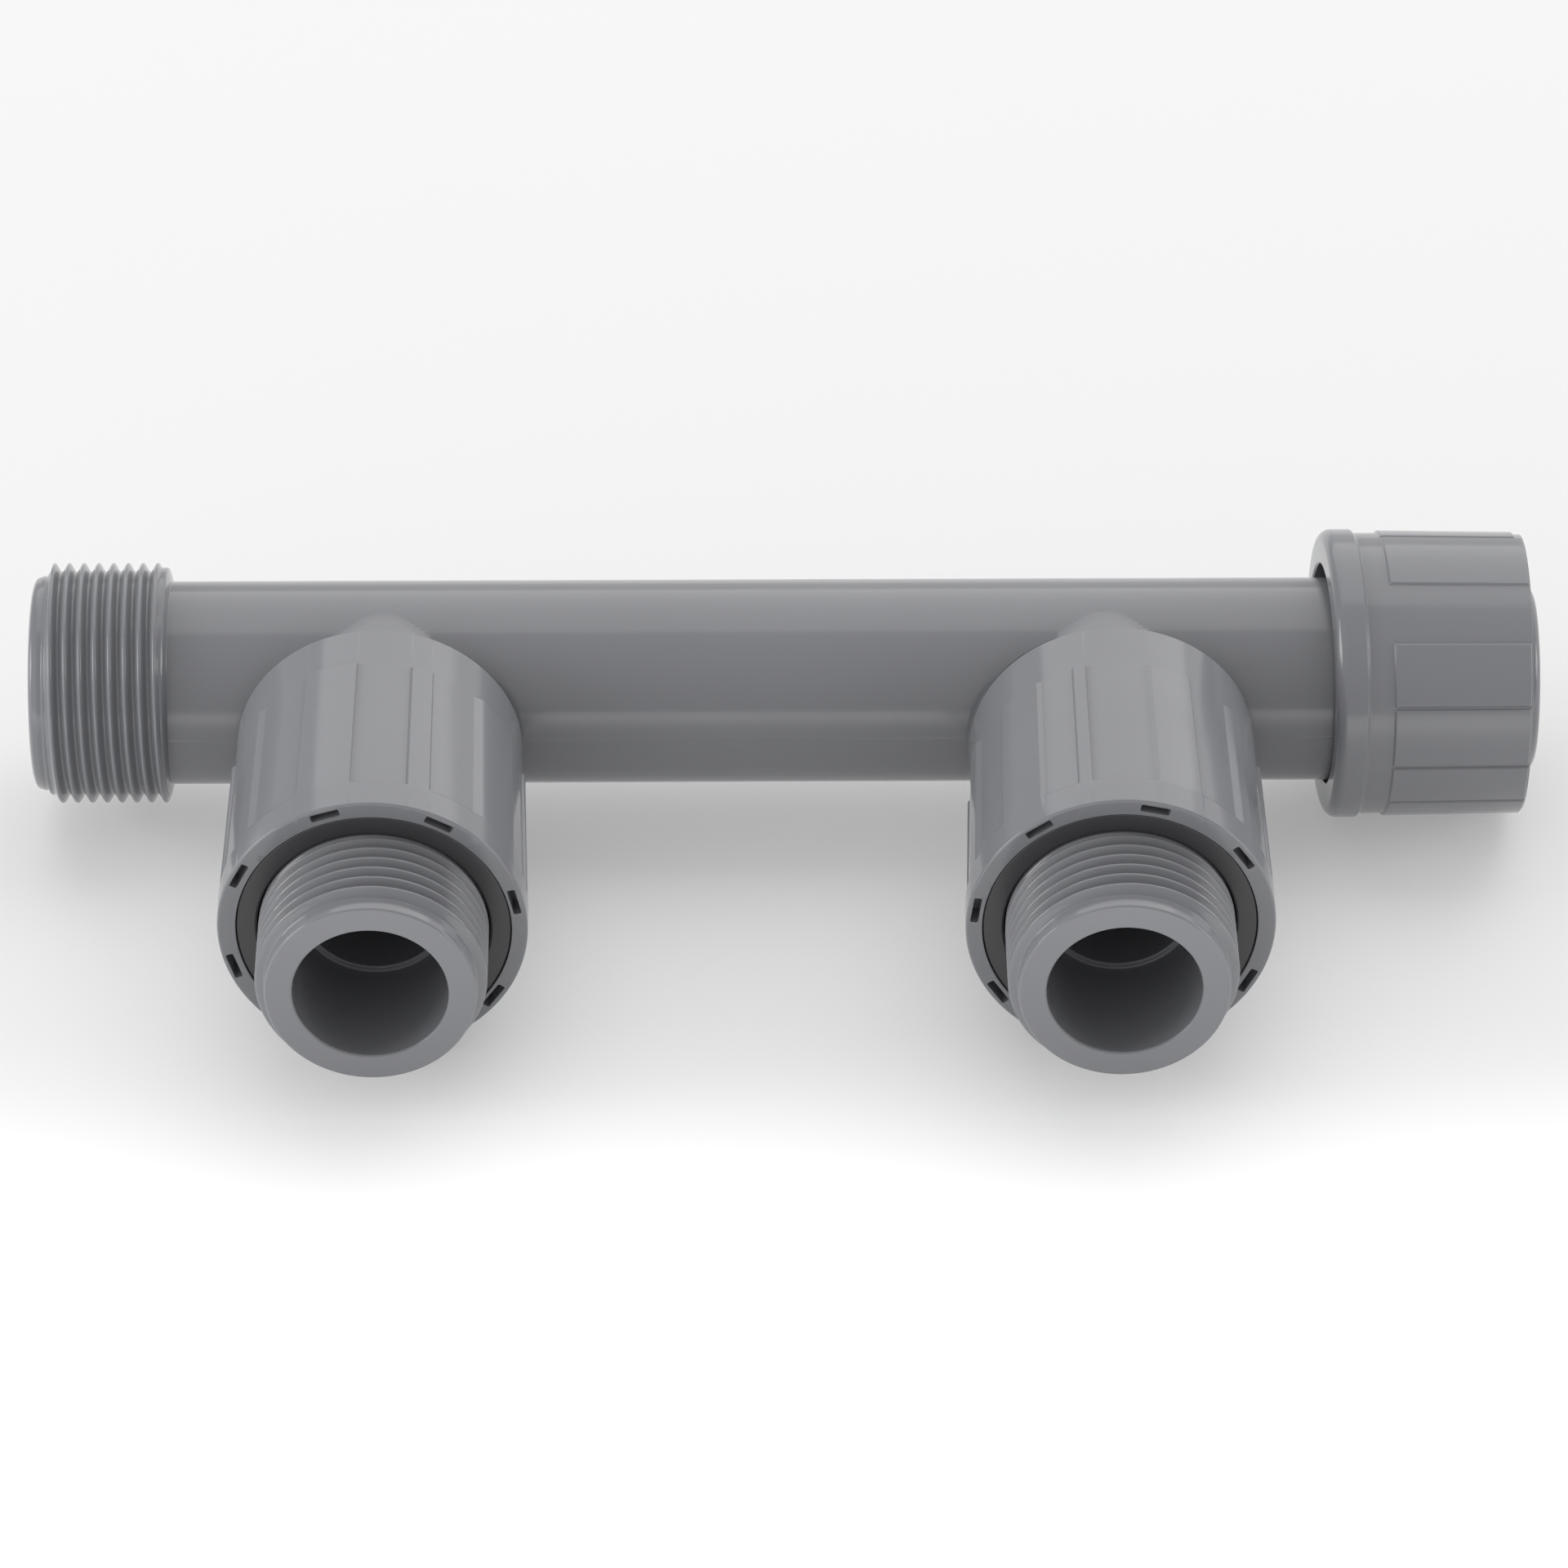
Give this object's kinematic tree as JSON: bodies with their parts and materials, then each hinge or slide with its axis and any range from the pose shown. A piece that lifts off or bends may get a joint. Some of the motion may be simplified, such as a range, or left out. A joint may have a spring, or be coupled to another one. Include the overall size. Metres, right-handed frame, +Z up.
{
  "type": "irrigation valve manifold",
  "caption": "Moulded grey plastic header pipe with side outlets held by long union nuts; each outlet has a male pipe thread, one end a threaded socket and the other a swivel union nut.",
  "frame": {"origin": "centre of the mouth of the socket at the left end of the header", "axes": "+X along the header towards the swivel nut, -Y the way the outlets point, +Z up"},
  "size_m": [0.2247, 0.0988, 0.045],
  "materials": {
    "body_plastic": "satin mid grey moulded plastic",
    "nut_plastic": "satin mid grey moulded plastic",
    "ring_plastic": "satin dark grey plastic",
    "seal_rubber": "black rubber"
  },
  "bodies": {
    "manifold": {"manifold_body": "body_plastic", "header_o_ring": "seal_rubber"},
    "swivel_nut": {"swivel_nut": "nut_plastic"},
    "ring_left": {"locking_ring_left": "ring_plastic"},
    "nut_left": {"outlet_nut_left": "nut_plastic"},
    "nipple_left": {"outlet_nipple_left": "body_plastic", "nipple_o_ring_left": "seal_rubber"},
    "ring_right": {"locking_ring_right": "ring_plastic"},
    "nut_right": {"outlet_nut_right": "nut_plastic"},
    "nipple_right": {"outlet_nipple_right": "body_plastic", "nipple_o_ring_right": "seal_rubber"}
  },
  "joints": [
    {"name": "swivel_nut_turn", "type": "hinge", "parent": "manifold", "child": "swivel_nut", "pos_m": [0.2, 0, 0.00097], "axis": [1, 0, 0], "continuous": true},
    {"name": "union_left_slide", "type": "slide", "parent": "manifold", "child": "ring_left", "axis": [0, -1, 0], "range_m": [0, 0.0155]},
    {"name": "nut_left_turn", "type": "hinge", "parent": "ring_left", "child": "nut_left", "pos_m": [0.05265, -0.04, 0], "axis": [0, -1, 0], "range_deg": [0, 2520]},
    {"name": "nipple_left_turn", "type": "hinge", "parent": "ring_left", "child": "nipple_left", "pos_m": [0.05265, -0.04, 0], "axis": [0, -1, 0], "continuous": true},
    {"name": "union_right_slide", "type": "slide", "parent": "manifold", "child": "ring_right", "axis": [0, -1, 0], "range_m": [0, 0.0155]},
    {"name": "nut_right_turn", "type": "hinge", "parent": "ring_right", "child": "nut_right", "pos_m": [0.16005, -0.04, 0], "axis": [0, -1, 0], "range_deg": [0, 2520]},
    {"name": "nipple_right_turn", "type": "hinge", "parent": "ring_right", "child": "nipple_right", "pos_m": [0.16005, -0.04, 0], "axis": [0, -1, 0], "continuous": true}
  ],
  "couplings": [
    {"joint": "union_left_slide", "follows": "nut_left_turn", "m_per_rad": 0.00035157},
    {"joint": "union_right_slide", "follows": "nut_right_turn", "m_per_rad": 0.00035157}
  ]
}
